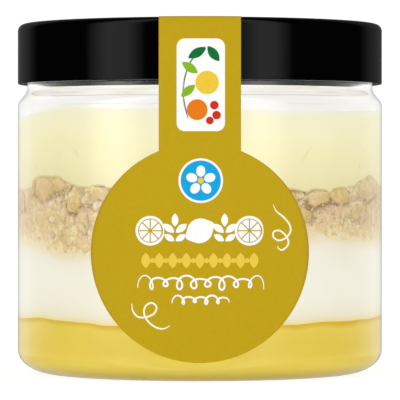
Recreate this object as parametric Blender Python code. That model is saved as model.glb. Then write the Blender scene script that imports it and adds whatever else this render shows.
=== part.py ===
"""Layered lemon trifle in a clear screw-lid jar, sealed with a gold label.

From the foot up the jar holds lemon curd, white cream, biscuit crumb and lemon cream, with air
above them.  Sizes are in metres, +Z is up, the origin is the middle of the jar's foot, and the
label faces -Y.  Angles around the jar are in degrees from the label's middle, positive to +X.
"""

import math

import bmesh
import bpy

# Driving sizes
JAR_RADIUS = 0.0425
LID_TOP = 0.0813
GAP = 0.0003  # clearance between pieces that touch
SEGMENTS = 64  # flats around every round piece
EDGE_STEPS = 4  # flats across a rounded edge
SHARP_ANGLE = 35  # degrees between faces from which an edge is shaded sharp

# Jar: a straight wall over a rounded foot corner, and a neck that hides in the lid
JAR_WALL = 0.0010
FLOOR_THICKNESS = 0.0012
CORNER_REACH = 0.0088
CORNER_HEIGHT = 0.0054
SHOULDER_LOW = 0.0623
SHOULDER_HIGH = 0.0662
NECK_STEP = 0.00215

# Lid: a smooth cap, open below
LID_RADIUS = JAR_RADIUS
LID_HEIGHT = 0.0140
LID_WALL = 0.0014
LID_PLATE = 0.0015
LID_EDGE = 0.0016
MOUTH_HEIGHT = LID_TOP - LID_PLATE - GAP

# Label: a disc on the jar, and a strip from it over the lid and down the back
LABEL_THICKNESS = 0.0003
LABEL_RADIUS = JAR_RADIUS + GAP
DISC_RADIUS = 0.0242
DISC_CENTRE = 0.0287
STRIP_HALF_WIDTH = 0.0091
TAIL_HEIGHT = 0.0400
LABEL_COLUMNS = 8
DISC_ROWS = 18
FOOT_ANGLE = 4  # degrees round the disc from its lowest point, where its short foot edge lies
TAIL_ROWS = 5
TAIL_ANGLE = -80  # degrees round the tail's tip, where its short end edge lies

# Filling: levels of the layers' edges at the wall
FILL_RADIUS = JAR_RADIUS - JAR_WALL - GAP
FILL_FLOOR = FLOOR_THICKNESS + GAP
CURD_LEVEL = 0.0132
CREAM_LEVEL = 0.0303
CRUMB_LEVEL = 0.0433
LEMON_LEVEL = 0.0609
RING_SHARES = (0.4, 0.7, 0.88, 1.0)  # rings of a layer's face, as shares of its radius

# Rises and dips of each edge: (angle, height, half-width in degrees)
CURD_WAVES = ((-60, 0.0005, 9), (-28, -0.0007, 9), (28, -0.0005, 10), (80, 0.0005, 12),
              (130, -0.0006, 15), (-150, 0.0006, 14))
CREAM_WAVES = ((-42, -0.0026, 14), (41, 0.0021, 11), (61, 0.0010, 8), (5, -0.0010, 12),
               (110, -0.0022, 12), (150, 0.0016, 12), (-105, 0.0018, 12), (-150, -0.0020, 14))
CRUMB_WAVES = ((-51, 0.0024, 7), (-76, -0.0007, 7), (40, -0.0014, 9), (67, 0.0027, 8),
               (112, -0.0012, 12), (146, 0.0022, 9), (-95, 0.0014, 8), (-132, 0.0024, 9),
               (-168, -0.0010, 10))
LEMON_WAVES = ((-42, 0.0007, 14), (-79, -0.0015, 15), (36, -0.0007, 14), (100, 0.0006, 16),
               (160, -0.0008, 18), (-130, 0.0005, 16))


def clear_scene():
    """Remove whatever the file holds."""
    for item in list(bpy.data.objects):
        bpy.data.objects.remove(item, do_unlink=True)


def linear(srgb):
    """Linear colour of an sRGB colour given in bytes."""
    return tuple(((byte / 255 + 0.055) / 1.055) ** 2.4 for byte in srgb)


def material(name, srgb, roughness, transmission=0.0):
    """A Principled material of one finish."""
    finish = bpy.data.materials.new(name)
    finish.use_nodes = True
    shader = finish.node_tree.nodes["Principled BSDF"]
    shader.inputs["Base Color"].default_value = (*linear(srgb), 1.0)
    shader.inputs["Roughness"].default_value = roughness
    shader.inputs["Transmission Weight"].default_value = transmission
    return finish


def add_object(name, bm, finish):
    """Turn a bmesh into a smooth-shaded object of one material."""
    bm.normal_update()
    mesh = bpy.data.meshes.new(name)
    bm.to_mesh(mesh)
    bm.free()
    mesh.shade_smooth()
    mesh.set_sharp_from_angle(angle=math.radians(SHARP_ANGLE))
    mesh.materials.append(finish)
    piece = bpy.data.objects.new(name, mesh)
    bpy.context.collection.objects.link(piece)
    return piece


def arc(centre, reach, start, end, steps):
    """Points (radius, height) on an elliptical arc, angles in degrees from +radius to +height."""
    points = []
    for step in range(steps + 1):
        angle = math.radians(start + (end - start) * step / steps)
        points.append((centre[0] + reach[0] * math.cos(angle), centre[1] + reach[1] * math.sin(angle)))
    return points


def uneven(level, waves):
    """Height of a layer's face: its level, with rises and dips that fade towards the middle."""

    def height(radius, angle):
        rise = 0.0
        for centre, size, spread in waves:
            apart = (angle - centre + 180) % 360 - 180
            rise += size * math.exp(-((apart / spread) ** 2))
        return level + rise * (radius / FILL_RADIUS) ** 2

    return height


def raised(face, amount):
    """The same face, moved up by an amount."""
    return lambda radius, angle: face(radius, angle) + amount


def revolved(name, profile, finish):
    """A closed solid turned round Z from its profile, with the solid on the profile's left.

    The profile runs from the axis out and back to the axis.  Each entry is (radius, height), and a
    height may be a function of radius and angle.
    """
    bm = bmesh.new()
    rings = []
    for radius, height in profile:
        count = SEGMENTS if radius > 0 else 1
        ring = []
        for index in range(count):
            turn = 360 * index / SEGMENTS
            angle = math.radians(turn)
            level = height(radius, turn) if callable(height) else height
            ring.append(bm.verts.new((radius * math.sin(angle), -radius * math.cos(angle), level)))
        rings.append(ring)
    for near, far in zip(rings, rings[1:]):
        for index in range(SEGMENTS):
            following = (index + 1) % SEGMENTS
            corners = [near[index % len(near)], near[following % len(near)],
                       far[following % len(far)], far[index % len(far)]]
            bm.faces.new(list(dict.fromkeys(corners)))
    bmesh.ops.recalc_face_normals(bm, faces=bm.faces)
    return add_object(name, bm, finish)


def shoulder(offset, steps=5):
    """The S-curve from the wall up into the neck, moved in by an offset."""
    points = []
    for step in range(steps + 1):
        share = step / steps
        inset = NECK_STEP * (1 - math.cos(math.pi * share)) / 2
        height = SHOULDER_LOW + (SHOULDER_HIGH - SHOULDER_LOW) * share
        points.append((JAR_RADIUS - offset - inset, height))
    return points


def corner(offset, floor, steps=4):
    """The rounded corner from the floor out to the wall, moved in by an offset."""
    centre = (JAR_RADIUS - CORNER_REACH, CORNER_HEIGHT)
    reach = (CORNER_REACH - offset, CORNER_HEIGHT - floor)
    return arc(centre, reach, -90, 0, steps)


def make_jar():
    """The clear jar, open at the mouth."""
    neck = JAR_RADIUS - NECK_STEP
    outside = [(0, 0)] + corner(0, 0) + shoulder(0) + [(neck, MOUTH_HEIGHT)]
    inside = [(0, FLOOR_THICKNESS)] + corner(JAR_WALL, FLOOR_THICKNESS) + shoulder(JAR_WALL)
    inside.append((neck - JAR_WALL, MOUTH_HEIGHT))
    finish = material("jar", (238, 240, 238), 0.05, transmission=1.0)
    return revolved("jar", outside + inside[::-1], finish)


def make_lid():
    """The cap: a plate and a skirt, open below."""
    bottom = LID_TOP - LID_HEIGHT
    plate = LID_TOP - LID_PLATE
    bore = LID_RADIUS - LID_WALL
    edge = arc((LID_RADIUS - LID_EDGE, LID_TOP - LID_EDGE), (LID_EDGE, LID_EDGE), 0, 90, EDGE_STEPS)
    profile = [(0, plate), (bore, plate), (bore, bottom), (LID_RADIUS, bottom)] + edge + [(0, LID_TOP)]
    return revolved("lid", profile, material("lid", (8, 8, 8), 0.2))


def make_layer(name, floor, top, finish):
    """One layer of the filling: the floor's outline, then the wall, then the uneven top."""
    face = [(FILL_RADIUS * share, top) for share in RING_SHARES]
    return revolved(name, floor + face[::-1] + [(0, top)], finish)


def make_filling():
    """The four layers, each resting on the uneven face of the one below."""
    layers = (("lemon_curd", CURD_LEVEL, CURD_WAVES, (236, 205, 88)),
              ("cream", CREAM_LEVEL, CREAM_WAVES, (244, 239, 220)),
              ("biscuit_crumb", CRUMB_LEVEL, CRUMB_WAVES, (214, 188, 138)),
              ("lemon_cream", LEMON_LEVEL, LEMON_WAVES, (243, 237, 198)))
    floor = [(0, FILL_FLOOR)] + corner(JAR_WALL + GAP, FILL_FLOOR)
    for name, level, waves, srgb in layers:
        top = uneven(level, waves)
        make_layer(name, floor, top, material(name, srgb, 0.5))
        rest = raised(top, GAP)
        floor = [(0, rest)] + [(FILL_RADIUS * share, rest) for share in RING_SHARES]


def label_path():
    """Rows of the label from its foot to its tail: (half-width, radius, height, side)."""
    rows = []
    widest = math.degrees(math.asin(STRIP_HALF_WIDTH / DISC_RADIUS))
    for step in range(DISC_ROWS + 1):
        angle = math.radians(FOOT_ANGLE + (180 - widest - FOOT_ANGLE) * step / DISC_ROWS)
        half = DISC_RADIUS * math.sin(angle)
        rows.append((half, LABEL_RADIUS, DISC_CENTRE - DISC_RADIUS * math.cos(angle), -1))
    centre = (LID_RADIUS - LID_EDGE, LID_TOP - LID_EDGE)
    bend = arc(centre, (LABEL_RADIUS - centre[0], LID_EDGE + GAP), 0, 90, EDGE_STEPS)
    rows += [(STRIP_HALF_WIDTH, radius, height, -1) for radius, height in bend]
    rows += [(STRIP_HALF_WIDTH, radius, height, 1) for radius, height in bend[::-1]]
    tip = (0, TAIL_HEIGHT + STRIP_HALF_WIDTH)
    for half, height in arc(tip, (STRIP_HALF_WIDTH, STRIP_HALF_WIDTH), 0, TAIL_ANGLE, TAIL_ROWS):
        rows.append((half, LABEL_RADIUS, height, 1))
    return rows


def make_label():
    """The label as one bent sheet, thickened outwards."""
    bm = bmesh.new()
    rows = []
    for half, radius, height, side in label_path():
        row = []
        for column in range(LABEL_COLUMNS + 1):
            across = half * (2 * column / LABEL_COLUMNS - 1)
            along = side * math.sqrt(radius ** 2 - across ** 2)
            row.append(bm.verts.new((across, along, height)))
        rows.append(row)
    for low, high in zip(rows, rows[1:]):
        for column in range(LABEL_COLUMNS):
            bm.faces.new((low[column], low[column + 1], high[column + 1], high[column]))
    sheet = add_object("label", bm, material("label", (194, 162, 28), 0.45))
    thicken = sheet.modifiers.new("thickness", "SOLIDIFY")
    thicken.thickness = LABEL_THICKNESS
    thicken.offset = 1.0
    return sheet


clear_scene()
make_jar()
make_lid()
make_filling()
make_label()
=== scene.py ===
"""Looks of a layered lemon trifle in a clear screw-lid jar with a gold seal label.

Lengths are in metres unless a name ends in _MM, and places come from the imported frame.  The label
faces -Y.  Angles round the jar are in degrees from the label's middle, positive to +X.
"""

import math

import bmesh
import bpy
import numpy as np
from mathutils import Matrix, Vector, noise


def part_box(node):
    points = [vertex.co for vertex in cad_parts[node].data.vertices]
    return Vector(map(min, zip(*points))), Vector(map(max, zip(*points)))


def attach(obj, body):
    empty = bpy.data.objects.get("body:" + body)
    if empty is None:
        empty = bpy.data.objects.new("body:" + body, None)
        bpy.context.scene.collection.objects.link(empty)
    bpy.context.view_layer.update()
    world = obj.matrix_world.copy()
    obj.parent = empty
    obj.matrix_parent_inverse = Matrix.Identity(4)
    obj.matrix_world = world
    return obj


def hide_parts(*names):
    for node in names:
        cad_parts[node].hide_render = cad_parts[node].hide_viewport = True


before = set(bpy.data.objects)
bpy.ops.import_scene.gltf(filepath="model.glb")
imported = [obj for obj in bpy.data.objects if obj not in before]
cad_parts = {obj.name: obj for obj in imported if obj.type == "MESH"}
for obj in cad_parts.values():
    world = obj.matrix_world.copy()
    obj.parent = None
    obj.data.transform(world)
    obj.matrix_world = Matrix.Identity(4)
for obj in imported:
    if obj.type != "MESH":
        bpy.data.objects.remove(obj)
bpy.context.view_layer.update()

BODY = "root"

MM = 0.001

# Places and sizes read from the frame
JAR_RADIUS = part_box("jar")[1].x
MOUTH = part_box("jar")[1].z
LID_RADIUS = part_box("lid")[1].x
LID_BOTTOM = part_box("lid")[0].z
LID_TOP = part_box("lid")[1].z
DISC_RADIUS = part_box("label")[1].x
DISC_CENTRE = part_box("label")[0].z + DISC_RADIUS

# Jar
SMOOTH = 256  # vertices round the jar, the lid and the neck's film
WALL = 1.0 * MM
FLOOR_THICKNESS = 1.2 * MM
CORNER_REACH = 8.8 * MM
CORNER_HEIGHT = 5.4 * MM
SHOULDER_LOW = 62.3 * MM
SHOULDER_HIGH = 66.2 * MM
NECK_STEP = 2.15 * MM
BORE_RADIUS = JAR_RADIUS - WALL
WET_RADIUS = BORE_RADIUS + 0.12 * MM  # what wets the wall reaches just into it

# Film inside the neck
FILM_FOOT = 58.9 * MM
FILM_GAP = 0.05 * MM
FILM_THICKNESS = 0.12 * MM
# Its faint level lines, painted shade as a neck thread would cast: (share of the way up, grey as a byte,
# where white is a full line)
FILM_SHADE_LINES = ((0.45, 0), (0.47, 255), (0.49, 0), (0.67, 0), (0.705, 255), (0.73, 0), (0.76, 0),
              (0.81, 190), (0.86, 0))

# Lid
LID_WALL = 1.4 * MM
LID_PLATE = 1.5 * MM
LID_EDGE = 1.6 * MM
LID_LIP = 0.35 * MM

# Label and its print
STRIP_HALF_WIDTH = 9.1 * MM
TAIL_HEIGHT = 40.0 * MM
LABEL_LIFT = 0.03 * MM
LABEL_THICKNESS = 0.09 * MM
PRINT_RADIUS = JAR_RADIUS + LABEL_LIFT + LABEL_THICKNESS
INK_STEP = 0.03 * MM  # each ink stands this much over the one below
INK_FOOT = -0.5  # where ink starts, in steps over the film

# Filling
COLUMNS = 1200  # vertices round each layer
SEED = 2  # of the noise that bends the crumb's cells, which follows the clock until it is set
FACE_SHARES = (0.35, 0.6, 0.8, 0.92, 0.985)  # rings of a layer's face, as shares of its radius
CURD_ROWS = 14
WHITE_ROWS = 32
LEMON_ROWS = 44
CRUMB_ROWS = 66
CREASE_DEPTH = 0.08 * MM

# Camera and light
CAMERA_DISTANCE = 18.5 * JAR_RADIUS
CAMERA_HEIGHT = 45.25 * MM
AIM = Vector((0.03 * MM, 0.0, 40.35 * MM))
LENS = 302.5
BACKGROUND = 1.05  # what is seen directly, or through the clear wall
DAYLIGHT = 0.86  # mean of the light that falls on surfaces
FRONT_SHARE = 0.24  # how much brighter it is from the front than from the side
LEFT_SHARE = 0.03  # how much brighter it is from the left than from the middle
FILM_FILL = 4.6  # watts of each fill light on the neck's film
CRUMB_KEY = 1.5  # watts of the high light on the crumb, from the left
CRUMB_FILL = 0.8  # watts of the low light on the crumb, from the right
FLOOR_GLOW = 0.86  # the floor's own light, which brings it up to the background's white
# What the lid mirrors: (angle from the camera's side, brightness)
STUDIO = ((-180, 0.11), (-140, 0.10), (-124, 0.0), (-76, 0.0), (-60, 0.57), (-46, 0.50), (-34, 0.0),
          (20, 0.0), (38, 0.58), (48, 0.48), (60, 0.0), (120, 0.0), (133, 0.075), (180, 0.09))
# Brightness of what the clear jar mirrors: (share of the way, share of full)
EVEN = ((0.0, 1.0), (1.0, 1.0))
HUMP = ((0.0, 0.0), (0.5, 1.0), (1.0, 0.0))
SOFT = ((0.0, 0.0), (0.35, 1.0), (0.65, 1.0), (1.0, 0.0))
WALL_ACROSS = ((0.0, 0.0), (0.22, 0.4), (0.38, 0.75), (0.52, 0.9), (0.66, 0.8), (0.85, 0.35), (1.0, 0.15))
WALL_RISE = ((0.0, 0.0), (0.155, 1.0), (1.0, 1.0))  # a rear wall, from its foot up
PANEL_DISTANCE = 0.6
SOFT_BOXES = (("left_box", -54, 0.56, 2.4), ("right_box", 37, 0.50, 1.9))  # name, angle, width, brightness
BOX_MIDDLE = 0.515
BOX_TALL = 0.97
REAR_MIDDLE = 0.475
REAR_SIZE = (1.0, 1.45)


def linear(srgb):
    """Linear colour, with alpha, of an sRGB colour given in bytes."""
    return tuple(((byte / 255 + 0.055) / 1.055) ** 2.4 for byte in srgb) + (1.0,)


# ---- materials


class Nodes:
    """The nodes of a material, of the world or of a light."""

    def __init__(self, owner):
        owner.use_nodes = True
        self.tree = owner.node_tree

    def lead(self, value, socket):
        """Give a socket a value, or another node's output."""
        if isinstance(value, bpy.types.NodeSocket):
            self.tree.links.new(value, socket)
        else:
            socket.default_value = value

    def new(self, kind, **inputs):
        """A new node, with values or outputs led into its named inputs."""
        node = self.tree.nodes.new("ShaderNode" + kind)
        for key, value in inputs.items():
            self.lead(value, node.inputs[key.replace("_", " ")])
        return node

    def math(self, operation, *inputs):
        """One sum of outputs and numbers."""
        node = self.new("Math")
        node.operation = operation
        for socket, value in zip(node.inputs, inputs):
            self.lead(value, socket)
        return node.outputs[0]

    def stops(self, source, stops, easing="LINEAR"):
        """A ramp of (position, linear colour) stops."""
        node = self.new("ValToRGB", Fac=source)
        node.color_ramp.interpolation = easing
        elements = node.color_ramp.elements
        while len(elements) < len(stops):
            elements.new(0.5)
        for element, (position, colour) in zip(elements, stops):
            element.position = position
            element.color = colour
        return node.outputs[0]


class Finish(Nodes):
    """A material being built round one Principled shader."""

    def __init__(self, name, roughness=0.5, **values):
        self.material = bpy.data.materials.new(name)
        super().__init__(self.material)
        self.inputs = self.tree.nodes["Principled BSDF"].inputs
        self.inputs["Roughness"].default_value = roughness
        for key, value in values.items():
            self.lead(value, self.inputs[key.replace("_", " ")])
        self.place = self.new("TexCoord").outputs["Object"]

    def noise(self, size, detail=4.0, roughness=0.5, stretch=(1, 1, 1)):
        """A noise pattern whose blobs are about `size` metres, 0 to 1."""
        place = self.new("Mapping", Vector=self.place, Scale=stretch).outputs[0]
        texture = self.new("TexNoise", Vector=place, Scale=1 / size, Detail=detail, Roughness=roughness)
        return texture.outputs["Fac"]

    def measure(self, name):
        """A number that the mesh holds at each vertex."""
        attribute = self.new("Attribute")
        attribute.attribute_name = name
        return attribute.outputs["Fac"]

    def add(self, first, share, second):
        """first + share * second."""
        return self.math("MULTIPLY_ADD", second, share, first)

    def ramp(self, source, stops):
        """A colour ramp of (position, sRGB bytes) stops."""
        return self.stops(source, [(position, linear(srgb)) for position, srgb in stops])

    def mottled(self, source, dark, light):
        """From a dark to a light colour over the middle of a noise pattern."""
        return self.ramp(source, ((0.3, dark), (0.7, light)))

    def mix(self, factor, first, second):
        """From the first colour at factor 0 to the second at 1; each is an output or sRGB bytes."""
        mix = self.new("Mix", Factor=factor)
        mix.data_type = "RGBA"
        for socket, colour in ((mix.inputs[6], first), (mix.inputs[7], second)):
            self.lead(linear(colour) if isinstance(colour, tuple) else colour, socket)
        return mix.outputs[2]

    def fade(self, source, start, end):
        """Falls smoothly from 1 where the source is at start to 0 at end."""
        change = self.new("MapRange", Value=source, From_Min=start, From_Max=end, To_Min=1.0, To_Max=0.0)
        change.interpolation_type = "SMOOTHSTEP"
        return change.outputs[0]

    def stain(self, base, source, start, end, colour):
        """A colour over the base where the source is at start, gone where it is at end."""
        return self.mix(self.fade(source, start, end), base, colour)

    def colour(self, source):
        """Lead a colour into the shader."""
        self.lead(source, self.inputs["Base Color"])
        return self

    def uneven(self, source, low, high):
        """Spread a 0 to 1 pattern over low to high as the roughness."""
        change = self.new("MapRange", Value=source, To_Min=low, To_Max=high)
        self.lead(change.outputs[0], self.inputs["Roughness"])
        return self

    def bump(self, source, height, strength=1.0):
        """Relief of a given height in metres."""
        bump = self.new("Bump", Distance=height, Strength=strength, Height=source)
        self.lead(bump.outputs[0], self.inputs["Normal"])
        return self


def clear_plastic():
    """Clear moulded plastic, a little uneven where the melt flowed."""
    finish = Finish("clear_plastic", 0.0, Transmission_Weight=1.0, IOR=1.5)
    finish.colour(linear((253, 253, 253)))
    return finish.bump(finish.noise(14 * MM, 1.0), 0.03 * MM, 0.3).material


def black_plastic():
    """Smooth black moulded plastic."""
    finish = Finish("black_plastic", 0.08)
    finish.colour(linear((0, 0, 0)))
    finish.uneven(finish.noise(6 * MM, 3.0), 0.05, 0.09)
    return finish.bump(finish.noise(0.5 * MM, 2.0), 0.002 * MM, 0.5).material


def gold_film():
    """Matt gold-yellow printed film."""
    finish = Finish("gold_film", 0.5, Specular_IOR_Level=0.08)
    grain = finish.noise(0.8 * MM, 3.0)
    finish.colour(finish.mottled(grain, (192, 160, 18), (195, 163, 20)))
    return finish.uneven(grain, 0.46, 0.56).material


def ink(name, srgb):
    """Flat printing ink with a faint mottle."""
    finish = Finish(name, 0.5, Specular_IOR_Level=0.15)
    dark = tuple(max(byte - 4, 0) for byte in srgb)
    return finish.colour(finish.mottled(finish.noise(0.6 * MM), dark, srgb)).material


def curd_gel():
    """Glossy lemon curd, deeper in tone along its upper edge, and darker towards its foot as painted
    shade.
    """
    finish = Finish("lemon_curd", 0.35, Specular_IOR_Level=0.0)
    flow = finish.noise(9 * MM, 3.0, stretch=(1, 1, 1.8))
    body = finish.mottled(flow, (244, 228, 116), (248, 232, 124))
    patchy = finish.add(finish.measure("below"), 1.6, finish.noise(10 * MM, 2.0))
    edge = finish.stain(body, patchy, 0.8, 2.4, (230, 200, 72))
    # painted shade: darker towards the foot, where the curd's underside is lit less
    return finish.colour(finish.stain(edge, finish.measure("above"), -4.2, -2.0, (217, 200, 92))).material


def whipped_cream():
    """White cream, tinted by the curd below and the crumb above."""
    finish = Finish("whipped_cream", 0.5, Specular_IOR_Level=0.0)
    flow = finish.noise(12 * MM, 3.0, stretch=(1, 1, 1.6))
    body = finish.mottled(flow, (252, 251, 242), (254, 253, 247))
    stained = finish.stain(body, finish.measure("above"), 0.0, 1.7, (250, 241, 184))
    uneven = finish.add(finish.measure("below"), 3.0, finish.noise(3 * MM, 3.0))
    return finish.colour(finish.stain(stained, uneven, 2.6, 6.4, (248, 240, 212))).material


def lemon_cream():
    """Pale yellow cream: whiter at its upper edge as painted light, darker in its creases and along its
    lower edge as painted shade.
    """
    finish = Finish("lemon_cream", 0.5, Specular_IOR_Level=0.0)
    flow = finish.noise(13 * MM, 3.0, stretch=(1, 1, 1.6))
    body = finish.mottled(flow, (253, 250, 224), (255, 253, 233))
    low = finish.stain(body, finish.measure("above"), 2.0, 16.0, (252, 249, 218))
    # painted light: whiter along the upper edge, lifting the lid's shade there
    thin = finish.stain(low, finish.measure("below"), 0.0, 1.6, (254, 254, 243))
    # painted shade in the creases
    crease_shaded = finish.mix(finish.measure("crease"), thin, (240, 236, 206))
    # painted shadow: a darker line along the lower edge, where the cream meets the crumb
    edge_shaded = finish.stain(crease_shaded, finish.measure("above"), 0.15, 0.55, (230, 221, 170))
    return finish.colour(edge_shaded).material


def biscuit(name):
    """Biscuit crumb: a tone for each crumb, darker in its gaps and under lumps as painted shade, and pale
    where cream soaks in.
    """
    finish = Finish(name, 0.85, Specular_IOR_Level=0.0)
    grain = finish.noise(0.9 * MM, 5.0, 0.65)
    tone = finish.add(finish.measure("tone"), 0.4, grain)
    body = finish.ramp(tone, ((0.30, (216, 196, 148)), (0.65, (234, 219, 176)), (1.0, (246, 237, 206))))
    rosy = finish.stain(body, finish.noise(5 * MM, 2.0), 0.34, 0.52, (233, 213, 178))
    specked = finish.stain(rosy, finish.noise(0.5 * MM, 2.0), 0.30, 0.38, (202, 174, 126))
    # painted shade: brown where the gap measure is high, in crevices and in the shadow under lumps
    gaps = finish.mix(finish.measure("gap"), specked, (190, 158, 108))
    return finish.colour(finish.mix(finish.measure("soaked"), gaps, (252, 244, 216))).material


def neck_film():
    """Mist and a thin smear of cream inside the neck, darker low down and with faint level lines, both
    painted shade.
    """
    finish = Finish("neck_film", 0.6, Specular_IOR_Level=0.0)
    streaks = finish.noise(9 * MM, 3.0, stretch=(1, 1, 9))
    body = finish.ramp(streaks, ((0.30, (238, 235, 216)), (0.45, (245, 244, 240)), (0.8, (247, 247, 248))))
    # painted shade: the film is darker low down
    shaded = finish.stain(body, finish.measure("rise"), 0.50, 0.80, (212, 212, 212))
    level = finish.add(finish.measure("rise"), 0.06, finish.noise(12 * MM, 1.0))
    # painted shade: faint grey lines round the film at set heights, as a neck thread would cast
    lines = finish.ramp(level, [(place, (grey, grey, grey)) for place, grey in FILM_SHADE_LINES])
    patches = finish.add(finish.noise(20 * MM, 1.0, stretch=(1, 1, 9)), -0.5, finish.measure("aside"))
    broken_shade_lines = finish.mix(finish.fade(patches, 0.40, 0.56), lines, (0, 0, 0))
    return finish.colour(finish.mix(broken_shade_lines, shaded, (196, 196, 188))).material


# ---- shapes


def add_piece(name, mesh, finish, slot, *nodes, sharp=40):
    """Show a mesh as a piece of the trifle that stands for CAD nodes."""
    mesh.shade_smooth()
    mesh.set_sharp_from_angle(angle=math.radians(sharp))
    mesh.materials.append(finish)
    piece = bpy.data.objects.new(name, mesh)
    bpy.context.collection.objects.link(piece)
    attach(piece, BODY)
    if nodes:
        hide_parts(*nodes)
    return piece


def turns(columns):
    """Angles of the columns round the jar, in radians."""
    return 2 * math.pi * np.arange(columns) / columns


def new_mesh(name, points, faces):
    """A mesh from lists of points and faces."""
    mesh = bpy.data.meshes.new(name)
    mesh.from_pydata(points, [], faces)
    mesh.update()
    return mesh


def turned(name, profile, columns=COLUMNS, ring=False):
    """A closed mesh turned round Z from (radius, height) entries, each a number or one per column.

    The profile runs from the axis out and back to the axis, or round a closed ring.
    """
    rows = profile if ring else profile[1:-1]
    radii = np.array([np.broadcast_to(radius, columns) for radius, _ in rows])
    heights = np.array([np.broadcast_to(height, columns) for _, height in rows])
    angle = turns(columns)
    grid = np.stack([radii * np.sin(angle), -radii * np.cos(angle), heights], axis=-1)
    points = grid.reshape(-1, 3).tolist()
    index = np.arange(len(rows) * columns).reshape(len(rows), columns)
    onward = np.roll(index, -1, axis=1)
    upper = np.roll(index, -1, axis=0) if ring else index[1:]
    beyond = np.roll(onward, -1, axis=0) if ring else onward[1:]
    count = len(upper)
    faces = np.stack([index[:count], onward[:count], beyond, upper], axis=-1).reshape(-1, 4).tolist()
    if not ring:
        foot = len(points)
        points += [(0, 0, profile[0][1]), (0, 0, profile[-1][1])]
        lowest = zip(index[0].tolist(), onward[0].tolist())
        highest = zip(index[-1].tolist(), onward[-1].tolist())
        faces += [(foot, there, here) for here, there in lowest]
        faces += [(here, there, foot + 1) for here, there in highest]
    return new_mesh(name, points, faces)


def store(mesh, name, rows):
    """Keep one number per vertex of a turned mesh, with 0 at the ends of its axis."""
    values = np.zeros(len(mesh.vertices))
    values[:np.size(rows)] = np.ravel(rows)
    mesh.attributes.new(name, "FLOAT", "POINT").data.foreach_set("value", values)


def arc(centre, reach, start, end, steps):
    """Points on an elliptical arc, angles in degrees from the first axis to the second."""
    angles = [math.radians(start + (end - start) * step / steps) for step in range(steps + 1)]
    return [(centre[0] + reach[0] * math.cos(angle), centre[1] + reach[1] * math.sin(angle))
            for angle in angles]


def shoulder(offset, steps=16):
    """The S-curve from the wall up into the neck, moved in by an offset."""
    points = []
    for step in range(steps + 1):
        share = step / steps
        inset = NECK_STEP * (1 - math.cos(math.pi * share)) / 2
        height = SHOULDER_LOW + (SHOULDER_HIGH - SHOULDER_LOW) * share
        points.append((JAR_RADIUS - offset - inset, height))
    return points


def corner(offset, floor, steps=14):
    """The rounded corner from the floor out to the wall, moved in by an offset."""
    centre = (JAR_RADIUS - CORNER_REACH, CORNER_HEIGHT)
    return arc(centre, (CORNER_REACH - offset, CORNER_HEIGHT - floor), -90, 0, steps)


# ---- jar and lid


def make_jar():
    """The clear jar."""
    neck = JAR_RADIUS - NECK_STEP
    rim = arc((neck - WALL / 2, MOUTH - WALL / 2), (WALL / 2, WALL / 2), 0, 180, 8)
    outside = [(0, 0)] + corner(0, 0) + shoulder(0) + rim
    inside = [(0, FLOOR_THICKNESS)] + corner(WALL, FLOOR_THICKNESS) + shoulder(WALL)
    mesh = turned("clear_jar", outside + inside[::-1], SMOOTH)
    return add_piece("clear_jar", mesh, clear_plastic(), "clear_jar", "jar")


def make_neck_film():
    """Mist on the inside of the shoulder, from the cream up to the neck."""
    outside = [(BORE_RADIUS + FILM_GAP, FILM_FOOT)] + shoulder(WALL - FILM_GAP)
    inside = [(radius - FILM_THICKNESS, height) for radius, height in outside]
    profile = outside + inside[::-1]
    mesh = turned("neck_film", profile, SMOOTH, ring=True)
    rise = [(height - FILM_FOOT) / (SHOULDER_HIGH - FILM_FOOT) for _, height in profile]
    store(mesh, "rise", np.repeat(rise, SMOOTH))
    store(mesh, "aside", np.tile(np.sin(turns(SMOOTH)) ** 8, len(rise)))
    return add_piece("neck_film", mesh, neck_film(), "pale_cream")


def make_lid():
    """The smooth black cap."""
    bore = LID_RADIUS - LID_WALL
    plate = LID_TOP - LID_PLATE
    lip = (LID_LIP, LID_LIP)
    skirt = arc((bore + LID_LIP, LID_BOTTOM + LID_LIP), lip, 180, 270, 4)
    skirt += arc((LID_RADIUS - LID_LIP, LID_BOTTOM + LID_LIP), lip, -90, 0, 4)
    edge = arc((LID_RADIUS - LID_EDGE, LID_TOP - LID_EDGE), (LID_EDGE, LID_EDGE), 0, 90, 12)
    profile = [(0, plate), (bore, plate)] + skirt + edge + [(0, LID_TOP)]
    add_piece("screw_lid", turned("screw_lid", profile, SMOOTH), black_plastic(), "black_lid", "lid")


# ---- filling


def wall_edge(node):
    """Height of a layer's upper edge at the wall, at each column, read from its CAD node."""
    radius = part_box(node)[1].x
    heights = {}
    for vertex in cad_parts[node].data.vertices:
        x, y, z = vertex.co
        if math.hypot(x, y) > 0.99 * radius:
            angle = round(math.degrees(math.atan2(x, -y)), 1) % 360
            heights[angle] = max(heights.get(angle, z), z)
    levels = [heights[angle] for angle in sorted(heights)]
    return np.fft.irfft(np.fft.rfft(levels), COLUMNS) * COLUMNS / len(levels)


def ripple(amount, size, seed):
    """Small noise at each column, whose wiggles are about `size` metres long."""
    points = [(JAR_RADIUS / size * math.sin(angle), JAR_RADIUS / size * math.cos(angle), seed)
              for angle in turns(COLUMNS)]
    return amount * np.array([noise.fractal(point, 0.8, 2.0, 3) for point in points])


def falloff(distance, width):
    """1 where a distance is 0, falling away over a width."""
    return np.exp(-(distance / width) ** 2)


def wall_rows(low, high, count):
    """Heights of rows up the wall from a low edge to a high edge."""
    return [low + (high - low) * step / count for step in range(count + 1)]


def face_rings(radius, edge):
    """Rings of a layer's face from near the axis to its edge, levelling out inwards."""
    middle = float(np.mean(edge))
    rings = [(radius * share, middle + (edge - middle) * share ** 2) for share in FACE_SHARES]
    return [(0, middle)] + rings


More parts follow.
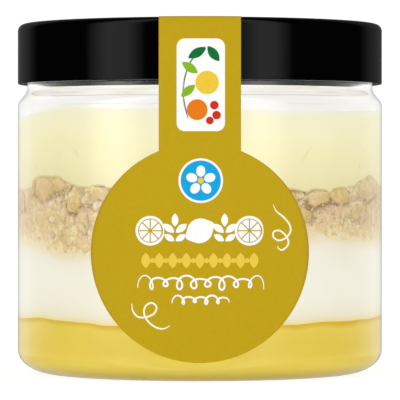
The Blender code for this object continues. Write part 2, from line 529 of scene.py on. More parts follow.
def across_wall(degrees, middle):
    """Distance in mm round the wall from a middle angle, with angles in degrees."""
    return ((degrees - middle + 180) % 360 - 180) * math.radians(1) * BORE_RADIUS / MM


def layer(name, low, high, radius, count, relief=None, floor=None):
    """A layer between two edges at the wall; returns its mesh with the edges' distances stored in mm."""
    heights = wall_rows(low, high, count)
    radii = [radius] * len(heights) if relief is None else relief
    bottom = face_rings(radius, low) if floor is None else floor
    top = face_rings(radius, high)
    mesh = turned(name, bottom + list(zip(radii, heights)) + top[::-1])
    z = np.array([vertex.co.z for vertex in mesh.vertices])[:-2].reshape(-1, COLUMNS)
    store(mesh, "above", (z - low) / MM)
    store(mesh, "below", (high - z) / MM)
    return mesh


def store_on_wall(mesh, name, rows, elsewhere):
    """Keep one number per vertex of a layer's wall, and another at the rings of its faces."""
    values = np.full(((len(mesh.vertices) - 2) // COLUMNS, COLUMNS), elsewhere)
    first = len(FACE_SHARES)
    values[first:first + len(rows)] = rows
    store(mesh, name, values)


def make_curd(edges):
    """The bottom layer, down to the jar's floor."""
    sunk = FLOOR_THICKNESS - 0.1 * MM
    floor = [(0, sunk)] + corner(JAR_RADIUS - WET_RADIUS, sunk)[:-1]
    low = np.full(COLUMNS, CORNER_HEIGHT)
    mesh = layer("curd_layer", low, edges["curd"], WET_RADIUS, CURD_ROWS, floor=floor)
    add_piece("curd_layer", mesh, curd_gel(), "curd", "lemon_curd")


def make_white_cream(edges):
    """The white layer, which rises behind the lowest crumbs."""
    low = edges["curd"] - 0.3 * MM
    high = edges["cream"] + 2.6 * MM
    radius = WET_RADIUS - 0.01 * MM
    relief = []
    for row, height in enumerate(wall_rows(low, high, WHITE_ROWS)):
        over = np.clip((height - edges["cream"]) / MM + 0.8, 0, None)
        wave = 0.0
        if over.max() > 0:
            wave = ripple(0.045, 2.6 * MM, 0.3 * row) + ripple(0.02, 0.9 * MM, 0.7 * row)
        depth = 0.035 * over + wave * np.clip(over, 0, 1)
        relief.append(radius - np.clip(depth, 0, 0.10) * MM)
    mesh = layer("white_cream_layer", low, high, radius, WHITE_ROWS, relief=relief)
    add_piece("white_cream_layer", mesh, whipped_cream(), "white_cream", "cream")


# Creases in the lemon cream: (angle, height, length, lean in degrees)
CREASES_MM = ((-41.5, 51.2, 3.4, -42), (-62.5, 48.2, 2.6, -48), (-61.0, 52.3, 0.9, 60),
              (-49.0, 50.4, 0.7, 70), (34.5, 50.6, 5.0, 56), (59.5, 48.2, 1.8, -50),
              (63.0, 52.0, 0.8, 80), (110, 52.0, 3.0, 40), (150, 49.0, 2.6, -40),
              (-110, 50.5, 3.2, -45), (-150, 52.5, 2.4, 50))
CREASE_WIDTH_MM = 0.22


def crease_depth(degrees, heights):
    """How far each point of the wall lies in a crease, 0 to 1."""
    depth = np.zeros(heights.shape)
    for angle, height, length, lean in CREASES_MM:
        across = across_wall(degrees, angle)
        up = heights / MM - height
        turn = math.radians(lean)
        along = across * math.cos(turn) + up * math.sin(turn)
        aside = up * math.cos(turn) - across * math.sin(turn) + 0.06 * along ** 2
        taper = np.clip(1 - (2 * along / length) ** 2, 0, 1)
        depth = np.maximum(depth, taper * falloff(aside, CREASE_WIDTH_MM))
    return depth


def make_lemon_cream(edges):
    """The pale yellow top layer, with a few creases against the wall."""
    low = edges["crumb"] - 0.12 * MM
    high = edges["lemon"]
    radius = WET_RADIUS - 0.02 * MM
    heights = np.array(wall_rows(low, high, LEMON_ROWS))
    creases = crease_depth(np.degrees(turns(COLUMNS)), heights)
    relief = list(radius - creases * CREASE_DEPTH)
    mesh = layer("lemon_cream_layer", low, high, radius, LEMON_ROWS, relief=relief)
    store_on_wall(mesh, "crease", creases, 0.0)
    add_piece("lemon_cream_layer", mesh, lemon_cream(), "pale_cream", "lemon_cream")


# Large lumps in the crumb: (angle, height of the middle, half width, half height, extra brightness)
LUMPS_MM = ((-50.3, 44.1, 2.5, 1.6, -0.1), (-57.0, 43.2, 6.0, 2.6, -0.14), (66.6, 42.8, 7.0, 2.5, 0),
            (39.5, 41.0, 3.4, 1.9, 0), (-33, 42.2, 2.8, 1.7, 0), (49, 41.4, 3.4, 1.9, 0),
            (146, 43.0, 5.4, 2.6, 0), (-95, 42.6, 4.4, 2.3, 0), (-130, 43.0, 5.4, 2.7, 0),
            (120, 40.9, 3.6, 2.0, 0), (178, 41.4, 4.0, 2.2, 0), (-42.5, 40.2, 2.5, 2.8, 0.2),
            (-76, 40.6, 3.0, 2.0, 0), (-160, 41.2, 3.4, 1.8, 0), (-112, 41.3, 2.8, 1.8, 0),
            (98, 41.4, 3.0, 1.8, 0), (57.5, 37.6, 3.2, 2.0, 0), (33, 37.2, 3.0, 2.1, 0))
BLOCKY = 2.6  # a lump's outline: 2 is an ellipse, and more is squarer


def domed(edge):
    """The crumb's upper edge, raised over the lumps that stand up from it."""
    degrees = np.degrees(turns(COLUMNS))
    for middle, level, half_width, half_height, _ in LUMPS_MM:
        across = across_wall(degrees, middle)
        bow = np.clip(1 - abs(across / half_width) ** BLOCKY, 0, 1) ** (1 / BLOCKY)
        dome = level + half_height * bow
        edge = np.maximum(edge, np.where(abs(across) < half_width, dome * MM, 0))
    return edge


# Turns a place into a number that looks random
HASH = (12.9898, 78.233, 37.719)
HASH_SPREAD = 43758.5453


def cells(points, size, seed):
    """For each point: distance to the border of its cell, and its cell's random tone, 0 to 1."""
    borders = np.empty(len(points))
    tones = np.empty(len(points))
    offset = Vector((seed, 2 * seed, 3 * seed))
    for index, point in enumerate(points):
        place = Vector(point) / size
        wander = noise.noise_vector(place * 1.3 + offset) * 0.35
        distances, centres = noise.voronoi(place + wander + offset)
        borders[index] = (distances[1] - distances[0]) * size / 2
        centre = centres[0]
        mixed = centre.x * HASH[0] + centre.y * HASH[1] + centre.z * HASH[2]
        tones[index] = (math.sin(mixed) * HASH_SPREAD) % 1
    return borders, tones


class Grit:
    """Patterns of the crumb at points of the wall: three sizes of cells, roughness and bulges."""

    def __init__(self, points):
        self.big_border, self.big_tone = cells(points, 3.2, 4.0)
        self.crumb_border, self.crumb_tone = cells(points, 1.5, 9.0)
        self.grain_border, self.grain_tone = cells(points, 0.75, 2.0)
        self.rough = np.array([noise.fractal(Vector(point) / 2.0, 0.9, 2.0, 4) for point in points])
        self.bulge = np.array([noise.noise(Vector(point) / 2.8) for point in points])
        self.whole = self.big_tone > 0.72


def wall_points(heights):
    """Points of the wall in mm, at each row and column."""
    angle = turns(COLUMNS)
    x = np.broadcast_to(BORE_RADIUS * np.sin(angle), heights.shape)
    y = np.broadcast_to(-BORE_RADIUS * np.cos(angle), heights.shape)
    return np.stack([x, y, heights], axis=-1).reshape(-1, 3) / MM


def crevices(grit, openness):
    """Depth behind the wall in mm, and tone with painted shade along its cracks, of crumb that is no large
    lump.
    """
    whole = grit.whole
    depth = 0.03 + 0.04 * grit.crumb_tone
    depth += 0.7 * np.clip(openness - 0.35, 0, 1) * falloff(grit.big_border, 0.24)
    depth += np.where(whole, 0, 0.6 * np.clip(openness - 0.42, 0, 1) * falloff(grit.crumb_border, 0.12))
    depth += np.where(whole, 0, 0.9 * np.clip(openness - 0.7, 0, 1) * (grit.crumb_tone > 0.78))
    grains = falloff(grit.grain_border, 0.09) * (grit.grain_tone > 0.4)
    depth += 0.2 * np.clip(openness - 0.5, 0, 1) * grains
    # painted shade: the tone is darker along the cells' borders, where the crevices are
    crack_shade = falloff(grit.big_border, 0.2) + np.where(whole, 0.2, 0.8) * falloff(grit.crumb_border, 0.15)
    crumb = np.where(whole, 0.1, 0.4 * grit.crumb_tone)
    tone = 0.22 + 0.2 * grit.big_tone + crumb + 0.25 * grit.grain_tone - 0.3 * crack_shade
    return depth, tone


def lump_reach(across, above, grit, rng):
    """Distance from a lump's middle, where 1 is its broken outline."""
    reach = (abs(across) ** BLOCKY + abs(above) ** BLOCKY) ** (1 / BLOCKY) * 0.96
    for flat in rng.uniform(0, 2 * math.pi, 6):
        facing = across * math.cos(flat) + above * math.sin(flat)
        reach = np.maximum(reach, facing / rng.uniform(0.8, 1.0))
    return reach * (1 + 0.16 * grit.rough + 0.4 * grit.bulge)


def press_lumps(grit, degrees, level, side, depth, tone):
    """Set the large lumps into the crumb; returns depth, tone with painted shading, what is lump, and the
    painted shadow under lumps.
    """
    taken = np.zeros(len(level), bool)
    shadow = np.zeros(len(level))
    rng = np.random.default_rng(5)
    for middle, centre, half_width, half_height, bright in LUMPS_MM:
        across = across_wall(degrees, middle) / half_width
        above = (level - centre) / half_height
        reach = lump_reach(across, above, grit, rng)
        rim = (reach - 1) * half_height
        inside = (reach < 1) & ~taken
        lump = 0.04 + (1 - side) * rng.uniform(0.05, 0.4) * falloff(rim, 0.1)
        shade = np.clip(0.3 - above, 0, 1) * np.clip(0.7 + grit.rough, 0, 1.2)
        # painted shadow below each lump, which darkens the crumb's colour there
        shadow = np.maximum(shadow, shade * falloff(rim - 0.2, 1.0))
        outside = np.maximum(depth, (1 - 0.8 * side) * shade * 1.4 * falloff(rim, 1.1))
        depth = np.where(inside, lump, np.where(taken, depth, outside))
        # painted shading: each lump lighter towards its top, darker to the right and at its rim, over a
        # random tone
        shading = bright + rng.uniform(0.0, 0.24) + 0.2 * above - 0.14 * across - 0.3 * falloff(rim, 0.35)
        # random grain tone, and painted shade along the grains' borders
        grain_tone_and_shade = 0.3 * grit.grain_tone - 0.25 * falloff(grit.grain_border, 0.12) * (grit.crumb_tone > 0.6)
        tone = np.where(inside, shading + 0.2 * grit.rough + grain_tone_and_shade, tone)
        taken |= inside
    return depth, tone, taken, shadow


def gap_share(depth, side, taken, shadow):
    """How much painted shade each row and column takes: by its gap's depth, its neighbours' and the
    painted shadow under lumps.
    """
    gap = np.clip((depth - 0.09) / 0.35, 0, 1).reshape(-1, COLUMNS)
    beside = [np.roll(gap, step, axis=axis) for axis in (1, 0) for step in (1, -1)]
    gap = 0.68 * np.maximum(gap, 0.6 * np.max(beside, axis=0)).reshape(-1) * (1 - 0.2 * side)
    return np.maximum(gap, np.where(taken, 0, np.clip(1.3 * shadow, 0, 1)))


def crumb_relief(edges, heights):
    """Depth behind the wall in mm, tone, and shares of painted gap shade and soaking, at each row and
    column.
    """
    grit = Grit(wall_points(heights))
    degrees = np.broadcast_to(np.degrees(turns(COLUMNS)), heights.shape).reshape(-1)
    side = np.exp(-((abs((degrees + 180) % 360 - 180) - 85) / 26) ** 4)
    up = ((heights - edges["cream"]) / (edges["crumb"] - edges["cream"])).reshape(-1)
    openness = np.clip(0.25 + 0.75 * up + 0.6 * grit.rough, 0.05, 1.3) * (1 - 0.4 * side)
    plain = crevices(grit, openness)
    depth, tone, taken, shadow = press_lumps(grit, degrees, heights.reshape(-1) / MM, side, *plain)
    gap = gap_share(depth, side, taken, shadow)
    depth = np.minimum(depth, 0.10 + 2.0 * np.clip(0.75 - side, 0, 1) ** 3)
    tone = tone + 0.3 * side * (0.42 - tone)
    dry = 3.2 - 1.9 * falloff(degrees - 41, 16)
    over_cream = (heights - edges["cream"]).reshape(-1) / MM
    soaked = 0.7 - over_cream / dry + 0.5 * grit.rough + 0.6 * (tone - 0.5) + 0.2 * side
    shares = (depth, np.clip(tone, 0, 1), gap, np.clip(soaked, 0, 0.95))
    return [values.reshape(heights.shape) for values in shares]


def make_crumb(edges):
    """The crumb mass pressed on the wall, with its crevices, and loose crumbs on it."""
    low = edges["cream"] - 1.2 * MM
    high = edges["crumb"]
    heights = np.array(wall_rows(low, high, CRUMB_ROWS))
    depth, *shares = crumb_relief(edges, heights)
    relief = list(WET_RADIUS - depth * MM)
    mesh = layer("crumb_mass", low, high, WET_RADIUS - 1.0 * MM, CRUMB_ROWS, relief=relief)
    for name, values in zip(("tone", "gap", "soaked"), shares):
        store_on_wall(mesh, name, values, 0.5)
    finish = biscuit("biscuit")
    mass = add_piece("crumb_mass", mesh, finish, "crumb", "biscuit_crumb", sharp=60)
    rng = np.random.default_rng(11)
    large = loose_spots(edges, rng, 230, 0.9, 2.0, (-0.10, 0.45))
    pieces = scatter("crumb_pieces", large, 2, finish, rng)
    small = loose_spots(edges, rng, 1500, 0.35, 0.9, (-0.12, 0.98))
    grains = scatter("crumb_grains", small, 1, finish, rng)
    return [mass, pieces, grains]


def loose_spots(edges, rng, count, smallest, largest, zone):
    """Places for loose crumbs: (angle, height, size), in the stated share of the layer's height."""
    spots = []
    for _ in range(count):
        column = rng.integers(COLUMNS)
        low, high = edges["cream"][column], edges["crumb"][column]
        share = zone[0] + (zone[1] - zone[0]) * rng.random()
        size = (smallest + (largest - smallest) * rng.random() ** 2) * MM
        angle = 2 * math.pi * (column + rng.random()) / COLUMNS
        spots.append((angle, low + (high - low) * share, size))
    return spots


def ball(detail):
    """Corners and faces of a unit ball of triangles."""
    bm = bmesh.new()
    bmesh.ops.create_icosphere(bm, subdivisions=detail, radius=1.0)
    corners = np.array([vertex.co for vertex in bm.verts])
    faces = np.array([[vertex.index for vertex in face.verts] for face in bm.faces])
    bm.free()
    return corners, faces


def broken(shape, rng, seed):
    """A ball's corners pulled in to random flats, as a biscuit breaks."""
    normals = rng.normal(size=(11, 3))
    normals /= np.linalg.norm(normals, axis=1)[:, None]
    facing = np.maximum(shape @ normals.T, 1e-3)
    reach = np.minimum((rng.uniform(0.68, 1.0, 11) / facing).min(axis=1), 1.1)
    grain = np.array([noise.noise(Vector(corner * 1.7) + Vector((seed, 0, 0))) for corner in shape])
    return shape * (reach * (1 + 0.18 * grain))[:, None]


def scatter(name, spots, detail, finish, rng):
    """Loose crumbs as one mesh, flattened where they press on the wall, with painted shade on their sides.
    """
    corners, faces = ball(detail)
    points = []
    triangles = []
    tones = []
    shades = []
    for index, (angle, height, size) in enumerate(spots):
        piece = broken(corners, rng, index * 3.7) * size / 2
        stretch = rng.uniform(0.8, 1.35)
        wall = WET_RADIUS - rng.uniform(0.02, 0.10) * MM
        turn = angle + piece[:, 0] * stretch / WET_RADIUS
        reach = np.minimum(wall - 0.30 * size + piece[:, 1], wall)
        level = height + piece[:, 2] / stretch
        points.append(np.stack([reach * np.sin(turn), -reach * np.cos(turn), level], axis=1))
        triangles.append(faces + index * len(corners))
        tones.append(np.full(len(corners), rng.uniform(0.2, 0.9)))
        # painted shade: each crumb darker where it draws back from the wall
        shades.append(np.clip(((WET_RADIUS - reach) / MM - 0.10) / 0.3, 0, 0.8))
    mesh = new_mesh(name, np.concatenate(points).tolist(), np.concatenate(triangles).tolist())
    store(mesh, "tone", np.concatenate(tones))
    store(mesh, "gap", np.concatenate(shades))
    store(mesh, "soaked", np.full(len(mesh.vertices), 0.15))
    return add_piece(name, mesh, finish, "crumb", sharp=60)


def make_filling():
    """The four layers, whose edges follow the CAD's with small ripples; returns the crumb's pieces."""
    edges = {
        "curd": wall_edge("lemon_curd") + ripple(0.10 * MM, 6 * MM, 1.0),
        "cream": wall_edge("cream") + ripple(0.35 * MM, 5 * MM, 2.0),
        "crumb": domed(wall_edge("biscuit_crumb")) + ripple(0.2 * MM, 4 * MM, 3.0),
        "lemon": wall_edge("lemon_cream") + ripple(0.20 * MM, 12 * MM, 4.0),
    }
    make_curd(edges)
    make_white_cream(edges)
    make_lemon_cream(edges)
    return make_crumb(edges)


# ---- label


def label_rows():
    """Rows of the label from its foot to its tail: (half-width, radius, height, side)."""
    radius = JAR_RADIUS + LABEL_LIFT
    widest = math.degrees(math.asin(STRIP_HALF_WIDTH / DISC_RADIUS))
    steps = 72
    rows = []
    for step in range(steps + 1):
        angle = math.radians(1.5 + (180 - widest - 1.5) * step / steps)
        height = DISC_CENTRE - DISC_RADIUS * math.cos(angle)
        rows.append((DISC_RADIUS * math.sin(angle), radius, height, -1))
    centre = (LID_RADIUS - LID_EDGE, LID_TOP - LID_EDGE)
    bend = arc(centre, (radius - centre[0], LID_EDGE + LABEL_LIFT), 0, 90, 12)
    rows += [(STRIP_HALF_WIDTH, reach, height, -1) for reach, height in bend]
    rows += [(STRIP_HALF_WIDTH, reach, height, 1) for reach, height in bend[::-1]]
    tail = arc((0, TAIL_HEIGHT + STRIP_HALF_WIDTH), (STRIP_HALF_WIDTH,) * 2, 0, -88, 20)
    return rows + [(half, radius, height, 1) for half, height in tail]


def make_label():
    """The gold film: a disc, and a strip from it over the lid."""
    columns = 48
    points = []
    for half, radius, height, side in label_rows():
        for column in range(columns + 1):
            across = half * (2 * column / columns - 1)
            points.append((across, side * math.sqrt(radius ** 2 - across ** 2), height))
    index = np.arange(len(points)).reshape(-1, columns + 1)
    faces = np.stack([index[:-1, :-1], index[:-1, 1:], index[1:, 1:], index[1:, :-1]], axis=-1)
    mesh = new_mesh("seal_label", points, faces.reshape(-1, 4).tolist())
    sheet = add_piece("seal_label", mesh, gold_film(), "gold_label", "label")
    thicken = sheet.modifiers.new("thickness", "SOLIDIFY")
    thicken.thickness = LABEL_THICKNESS
    thicken.offset = 1.0
    sheet.visible_transmission = False


# Print: outlines in millimetres in the label's front view, as lists of (x, z)


def placed(points, x, z, lean):
    """Points turned by an angle and moved to (x, z)."""
    turn = math.radians(lean)
    return [(x + along * math.cos(turn) - aside * math.sin(turn),
             z + along * math.sin(turn) + aside * math.cos(turn)) for along, aside in points]


def oval(x, z, wide, tall, lean=0, steps=40):
    """An ellipse, leaning by an angle."""
    return placed(arc((0, 0), (wide / 2, tall / 2), 0, 360, steps)[:-1], x, z, lean)


def leaf(x, z, length, width, lean):
    """A leaf pointed at both ends."""
    steps = 14
    half = [(length * (step / steps - 0.5), width / 2 * math.sin(math.pi * step / steps) ** 0.8)
            for step in range(steps + 1)]
    return placed(half + [(along, -aside) for along, aside in half[-2:0:-1]], x, z, lean)


def rounded_box(x, z, wide, tall, reach):
    """A rectangle with round corners."""
    points = []
    for side, up, start in ((1, 1, 0), (-1, 1, 90), (-1, -1, 180), (1, -1, 270)):
        centre = (x + side * (wide / 2 - reach), z + up * (tall / 2 - reach))
        points += arc(centre, (reach, reach), start, start + 90, 8)
    return points


def lemon(x, z, length, width, lean):
    """A lemon: an oval with a nub at each end."""
    steps = 48
    nub_rise = 0.22
    points = []
    for step in range(steps):
        angle = 2 * math.pi * step / steps
        nub = 1 + nub_rise * abs(math.cos(angle)) ** 14
        along = length / (2 + 2 * nub_rise) * math.cos(angle) * nub
        points.append((along, width / 2 * math.sin(angle)))
    return placed(points, x, z, lean)


def segments(x, z, reach, count, gap):
    """The segments of a round fruit slice."""
    outlines = []
    span = 180 / count
    apex = gap / math.sin(math.radians(span))
    trim = math.degrees(gap / reach)
    for number in range(count):
        middle = 360 * (number + 0.5) / count
        rim = arc((x, z), (reach, reach), middle - span + trim, middle + span - trim, 6)
        outlines.append(placed([(apex, 0)], x, z, middle) + rim)
    return outlines


def smooth(points, steps=8):
    """A smooth path through points."""
    path = []
    ends = [points[0]] + list(points) + [points[-1]]
    for before, here, there, after in zip(ends, ends[1:], ends[2:], ends[3:]):
        for step in range(steps):
            share = step / steps
            path.append(tuple(0.5 * (2 * b + (c - a) * share + (2 * a - 5 * b + 4 * c - d) * share ** 2
                                     + (3 * (b - c) + d - a) * share ** 3)
                              for a, b, c, d in zip(before, here, there, after)))
    return path + [tuple(points[-1])]


def on_label(x, z, level):
    """The point in front of (x, z), so many ink steps over the label's face, in metres."""
    radius = PRINT_RADIUS + level * INK_STEP
    return (x * MM, -math.sqrt(radius ** 2 - (x * MM) ** 2), z * MM)


def fill_outlines(bm, outlines, level):
    """Add closed thin shapes of ink, cut into narrow strips so that they bend with the jar."""
    strip = 1.2
    for outline in outlines:
        flat = bmesh.new()
        face = flat.faces.new([flat.verts.new((x, 0, z)) for x, z in outline])
        face.normal_update()
        if face.normal.y > 0:
            face.normal_flip()
        left, right = min(x for x, _ in outline), max(x for x, _ in outline)
        for number in range(math.ceil(left / strip), math.floor(right / strip) + 1):
            everything = flat.verts[:] + flat.edges[:] + flat.faces[:]
            cut = (number * strip, 0, 0)
            bmesh.ops.bisect_plane(flat, geom=everything, plane_co=cut, plane_no=(1, 0, 0))
        bmesh.ops.triangulate(flat, faces=flat.faces[:])
        extrude(bm, flat, level)
        flat.free()


def extrude(bm, flat, level):
    """Copy flat triangles onto the label as a thin closed body."""
    outer = {}
    inner = {}
    for vertex in flat.verts:
        x, _, z = vertex.co
        outer[vertex] = bm.verts.new(on_label(x, z, level))
        inner[vertex] = bm.verts.new(on_label(x, z, INK_FOOT))
    for face in flat.faces:
        bm.faces.new([outer[vertex] for vertex in face.verts])
        bm.faces.new([inner[vertex] for vertex in reversed(face.verts)])
    for edge in flat.edges:
        if edge.is_boundary:
            first = edge.link_loops[0].vert
            second = edge.other_vert(first)
            bm.faces.new([outer[second], outer[first], inner[first], inner[second]])


def stroke(bm, path, width, taper=0.35):
    """Add a pen line along a path, thinner at its ends."""
    sections = []
    count = len(path) - 1
    for index, (x, z) in enumerate(path):
        ahead, behind = path[min(index + 1, count)], path[max(index - 1, 0)]
        along = Vector((ahead[0] - behind[0], ahead[1] - behind[1])).normalized()
        end = min(index, count - index) / count
        half = width / 2 * (taper + (1 - taper) * min(1.0, end * 8))
        left = (x - along.y * half, z + along.x * half)
        right = (x + along.y * half, z - along.x * half)
        rim = ((left, 1), (right, 1), (right, INK_FOOT), (left, INK_FOOT))
        sections.append([bm.verts.new(on_label(*place, level)) for place, level in rim])
    for near, far in zip(sections, sections[1:]):
        for side in range(4):
            other = (side + 1) % 4
            bm.faces.new([near[side], near[other], far[other], far[side]])
    bm.faces.new(sections[0][::-1])
    bm.faces.new(sections[-1])


def print_ink(name, srgb, fills=(), lines=()):
    """One colour of ink: fills are (outlines, level), and lines are (path, width)."""
    bm = bmesh.new()
    for outlines, level in fills:
        fill_outlines(bm, outlines, level)
    for path, width in lines:
        stroke(bm, path, width)
    bmesh.ops.recalc_face_normals(bm, faces=bm.faces)
    mesh = bpy.data.meshes.new(name)
    bm.to_mesh(mesh)
    bm.free()
    piece = add_piece(name, mesh, ink(name, srgb), "gold_label")
    piece.visible_transmission = False


def petals(x, z, reach, count, size, start):
    """Petals round a flower's middle."""
    leans = [start + 360 * number / count for number in range(count)]
    return [oval(*placed([(reach, 0)], x, z, lean)[0], *size, lean, 20) for lean in leans]


def sprig(x, z, tall):
    """A leaf at the tip and two pairs of leaves below it."""
    outlines = [leaf(x, z + tall * 0.34, tall * 0.42, tall * 0.22, 90)]
    for side in (-1, 1):
        for out, up, length, width, lean in ((0.20, 0.08, 0.44, 0.22, 52), (0.18, -0.22, 0.38, 0.20, 58)):
            outlines.append(leaf(x + side * tall * out, z + tall * up,
                                 tall * length, tall * width, 90 - side * lean))
    return outlines


def vine(left, right, middle, height, waves):
    """A wavy line that loops back on itself at each crest."""
    path = []
    wave_steps = 22
    for step in range(waves * wave_steps + 1):
        turn = 2 * math.pi * step / wave_steps
        share = step / (waves * wave_steps)
        loop = height * 0.42 * math.sin(turn) * math.sin(math.pi * share) ** 0.3
        crest = height / 2 * math.cos(turn) * (0.75 + 0.25 * math.sin(turn * 0.37))
        path.append((left + (right - left) * share - loop, middle - crest))
    return path


# Curls, as points of a pen line
LEFT_CURL_MM = ((-15.1, 17.6), (-14.9, 16.0), (-13.8, 14.7), (-12.0, 14.6), (-10.2, 15.4),
                (-9.6, 16.9), (-10.7, 17.8), (-12.0, 17.1), (-12.4, 15.6), (-11.6, 13.8),
                (-9.8, 12.4), (-8.0, 12.1), (-6.6, 12.8))
RIGHT_CURL_MM = ((16.3, 39.6), (17.0, 38.1), (18.6, 36.8), (19.9, 35.2), (20.2, 33.7), (19.3, 32.3),
                 (17.7, 31.6), (16.4, 32.3), (16.4, 33.5), (17.7, 33.8), (19.0, 32.8), (19.7, 31.5),
                 (19.5, 30.4), (18.4, 29.5), (17.5, 29.8), (17.3, 30.4))
STEM_MM = ((1.0, 74.6), (-1.8, 71.6), (-3.4, 67.4), (-3.6, 63.0), (-2.6, 58.6))
BERRIES_MM = ((3.2, 61.6, 1.9), (3.7, 59.4, 1.9), (2.2, 58.2, 1.7))  # middle and size

# Middles of the print's motifs
PANEL_MM = (0.2, 66.1)
SLICE_MM = (1.6, 66.6)
BADGE_MM = (0.2, 44.9)
TITLE_MM = 33.8
TITLE_PITCH_MM = 5.5
LOZENGES_MM = 27.2
LOZENGE_PITCH_MM = 3.0


def print_white():
    """The white of the panel, the badge, the row of lemons and the pen lines."""
    whites = [([rounded_box(*PANEL_MM, 10.7, 20.5, 1.8)], 1), ([oval(*BADGE_MM, 9.9, 9.9)], 1),
              (petals(*BADGE_MM, 2.1, 5, (2.5, 2.0), 90), 3)]
    slices = (-2 * TITLE_PITCH_MM, 2 * TITLE_PITCH_MM)
    whites += [(segments(x, TITLE_MM, 2.5, 8, 0.13), 1) for x in slices]
    whites.append(([lemon(0, TITLE_MM, 7.0, 5.4, 28)], 1))
    whites += [(sprig(side * TITLE_PITCH_MM, TITLE_MM, 7.0), 1) for side in (-1, 1)]
    pen = [(arc((x, TITLE_MM), (3.0, 3.0), 0, 360, 48), 0.60) for x in slices]
    pen += [(vine(-13.8, 14.2, 22.3, 3.2, 9), 0.42), (vine(-6.2, 6.5, 18.5, 2.0, 5), 0.42)]
    print_ink("ink_white", (254, 254, 251), whites, pen)


def print_yellows():
    """The lemon slice on the panel, the flower's middle, and the row of lozenges."""
    centre = oval(*BADGE_MM, 1.3, 1.3, 0, 20)
    print_ink("ink_yellow", (250, 205, 40), [([oval(*SLICE_MM, 5.2, 5.2)], 2), ([centre], 4)])
    pitch = LOZENGE_PITCH_MM
    row = [leaf(pitch * (number - 4), LOZENGES_MM, 3.4, 2.0, 90) for number in range(9)]
    row += [oval(pitch * (number - 3.5), LOZENGES_MM, 1.1, 1.1, 0, 16) for number in range(8)]
    print_ink("ink_pale_yellow", (240, 206, 72), [(row, 1), (segments(*SLICE_MM, 2.15, 8, 0.12), 3)])


def make_print():
    """A fruit panel, a flower badge, and rows of lemons, lozenges and pen lines."""
    print_white()
    curls = [(smooth(LEFT_CURL_MM), 0.40), (smooth(RIGHT_CURL_MM), 0.40)]
    print_ink("ink_cream", (255, 250, 228), (), curls)
    print_ink("ink_blue", (3, 168, 228), [([oval(*BADGE_MM, 8.9, 8.9)], 2)])
    print_yellows()
    dark = [leaf(-0.6, 73.2, 4.6, 2.0, 30), leaf(3.0, 73.0, 4.2, 2.0, 128)]
    light = [leaf(-2.2, 69.9, 4.2, 1.9, -35), leaf(-2.6, 64.8, 4.0, 1.8, 40)]
    berries = [oval(x, z, size, size, 0, 24) for x, z, size in BERRIES_MM]
    print_ink("ink_dark_green", (4, 118, 56), [(dark, 2)])
    print_ink("ink_light_green", (136, 187, 35), [(light, 2)])
    print_ink("ink_orange", (236, 126, 14), [([oval(-0.6, 60.6, 4.6, 4.6)], 2)])
    print_ink("ink_red", (214, 46, 20), [(berries, 2)])
    print_ink("ink_grey", (126, 124, 122), (), [(smooth(STEM_MM), 0.34)])


# ---- camera, light and floor


def set_camera():
    """The photograph's view: nearly level, from far off, with a long lens."""
    data = bpy.data.cameras.new("camera")
    data.lens = LENS
    data.sensor_width = 36.0
    data.clip_end = 20.0
    camera = bpy.data.objects.new("camera", data)
    camera.location = (0.0, -CAMERA_DISTANCE, CAMERA_HEIGHT)
    camera.rotation_euler = (AIM - camera.location).to_track_quat("-Z", "Y").to_euler()
    bpy.context.collection.objects.link(camera)
    bpy.context.scene.camera = camera


def set_render():
    """Plain colours, and enough bounces for light to come back out of the jar."""
    scene = bpy.context.scene
    scene.view_settings.view_transform = "Standard"
    scene.cycles.max_bounces = 32
    scene.cycles.diffuse_bounces = 12
    scene.cycles.glossy_bounces = 16
    scene.cycles.transmission_bounces = 24
    scene.cycles.blur_glossy = 0.0


class Strength(Nodes):
    """The sums behind the strength of the world's light or of a panel's."""

    def blend(self, factor, first, second):
        """From the first at factor 0 to the second at 1."""
        kept = self.math("MULTIPLY", self.math("SUBTRACT", 1.0, factor), first)
        return self.math("MULTIPLY_ADD", factor, second, kept)

    def split(self, vector):
        """The three numbers of a vector."""
        return self.new("SeparateXYZ", Vector=vector).outputs

    def ramp(self, source, stops, easing="LINEAR"):
        """A ramp of (position, strength) stops."""
        return self.stops(source, [(place, (share, share, share, 1)) for place, share in stops], easing)

    def drive(self, shader, source):
        """Lead the sum into a shader."""
        self.lead(source, self.tree.nodes[shader].inputs["Strength"])


def set_world():
    """White daylight all round; what the lid's gloss mirrors is a dim studio with two soft boxes."""
    world = bpy.data.worlds.new("studio")
    bpy.context.scene.world = world
    light = Strength(world)
    light.tree.nodes["Background"].inputs["Color"].default_value = (1.0, 1.0, 1.0, 1.0)
    path = light.new("LightPath").outputs
    x, y, _ = light.split(light.new("TexCoord").outputs["Generated"])
    azimuth = light.math("ARCTAN2", x, light.math("MULTIPLY", y, -1.0))
    turn = light.math("MULTIPLY_ADD", azimuth, 1 / (2 * math.pi), 0.5)
    studio = light.ramp(turn, [((angle + 180) / 360, share) for angle, share in STUDIO])
    level = light.math("MULTIPLY_ADD", x, -LEFT_SHARE, DAYLIGHT)
    falling = light.math("MULTIPLY_ADD", y, -FRONT_SHARE, level)
    fallen = light.math("GREATER_THAN", path["Diffuse Depth"], 0.5)
    white = light.blend(fallen, BACKGROUND, falling)
    outside = light.math("LESS_THAN", path["Transmission Depth"], 0.5)
    mirrored = light.math("MULTIPLY", path["Is Glossy Ray"], outside)
    light.drive("Background", light.blend(mirrored, white, studio))


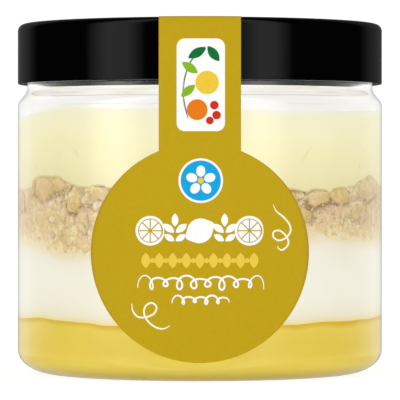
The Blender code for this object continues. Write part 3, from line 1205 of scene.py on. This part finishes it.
def add_light(name, place, target, size, energy, receivers):
    """A rectangular light that faces a target and lights the receivers alone."""
    data = bpy.data.lights.new(name, "AREA")
    data.shape = "RECTANGLE"
    data.size, data.size_y = size
    data.energy = energy
    light = bpy.data.objects.new(name, data)
    light.location = place
    light.rotation_euler = (Vector(target) - light.location).to_track_quat("-Z", "Y").to_euler()
    light.visible_camera = False
    light.visible_transmission = False
    light.light_linking.receiver_collection = receivers
    bpy.context.collection.objects.link(light)
    return light


def add_mirrored(name, place, target, size, brightness, receivers, across, up=EVEN):
    """A soft panel that is only mirrored.

    Its brightness across and up it is given as (share of the way, share of full) stops.
    """
    panel = add_light(name, place, target, size, brightness * math.pi * size[0] * size[1], receivers)
    panel.visible_diffuse = False
    light = Strength(panel.data)
    along = light.split(light.new("NewGeometry").outputs["Parametric"])
    ramps = [light.ramp(along[axis], stops, "EASE") for axis, stops in enumerate((across, up))]
    light.drive("Emission", light.math("MULTIPLY", *ramps))


def around(angle, distance, height):
    """The place at an angle round the jar, a distance and a height."""
    turn = math.radians(angle)
    return (distance * math.sin(turn), -distance * math.cos(turn), height)


def light_jar(jar):
    """Soft boxes, white rear walls and a pale floor that only the clear jar mirrors."""
    receivers = bpy.data.collections.new("mirrors_panels")
    receivers.objects.link(jar)
    for name, angle, width, brightness in SOFT_BOXES:
        place = around(angle, PANEL_DISTANCE, BOX_MIDDLE)
        add_mirrored(name, place, (0, 0, BOX_MIDDLE), (width, BOX_TALL), brightness, receivers, HUMP)
    reverse = tuple((1 - place, share) for place, share in WALL_ACROSS[::-1])
    for name, angle, across in (("rear_wall_left", -135, reverse), ("rear_wall_right", 135, WALL_ACROSS)):
        place = around(angle, PANEL_DISTANCE, REAR_MIDDLE)
        add_mirrored(name, place, (0, 0, REAR_MIDDLE), REAR_SIZE, 1.0, receivers, across, WALL_RISE)
    place = (0, 0.16, -0.05)
    add_mirrored("floor_behind", place, (0, 0.16, 1.0), (0.42, 0.42), 0.4, receivers, SOFT, SOFT)


def add_fill(name, angle, height, energy, pieces):
    """A soft light on pieces inside the jar alone, let past the jar, lid and label."""
    lit = bpy.data.collections.new(name + "_receivers")
    for piece in pieces:
        lit.objects.link(piece)
    light = add_light(name, around(angle, 0.9, height), (0, 0, 0.05), (0.5, 0.5), energy, lit)
    light.visible_glossy = False
    light.light_linking.blocker_collection = lit


def light_contents(film, crumbs):
    """Fill lights for what the lid and the wall leave too dark."""
    for side in (-1, 1):
        add_fill(f"film_fill_{side}", 58 * side, 0.06, FILM_FILL, [film])
    add_fill("crumb_key", -38, 0.55, CRUMB_KEY, crumbs)
    add_fill("crumb_fill", 45, 0.2, CRUMB_FILL, crumbs)


def make_floor():
    """A plain white floor, wide enough to meet the white background."""
    bpy.ops.mesh.primitive_plane_add(size=8.0)
    floor = bpy.context.object
    floor.name = "floor"
    finish = Finish("floor", 0.9, Specular_IOR_Level=0.0, Base_Color=(0.2, 0.2, 0.2, 1.0),
                    Emission_Color=(1.0, 1.0, 1.0, 1.0), Emission_Strength=FLOOR_GLOW)
    floor.data.materials.append(finish.material)
    floor.visible_glossy = False


def main():
    """Build the studio, then the jar and what is in and on it."""
    noise.seed_set(SEED)
    set_render()
    set_camera()
    set_world()
    make_floor()
    light_jar(make_jar())
    film = make_neck_film()
    make_lid()
    light_contents(film, make_filling())
    make_label()
    make_print()


main()
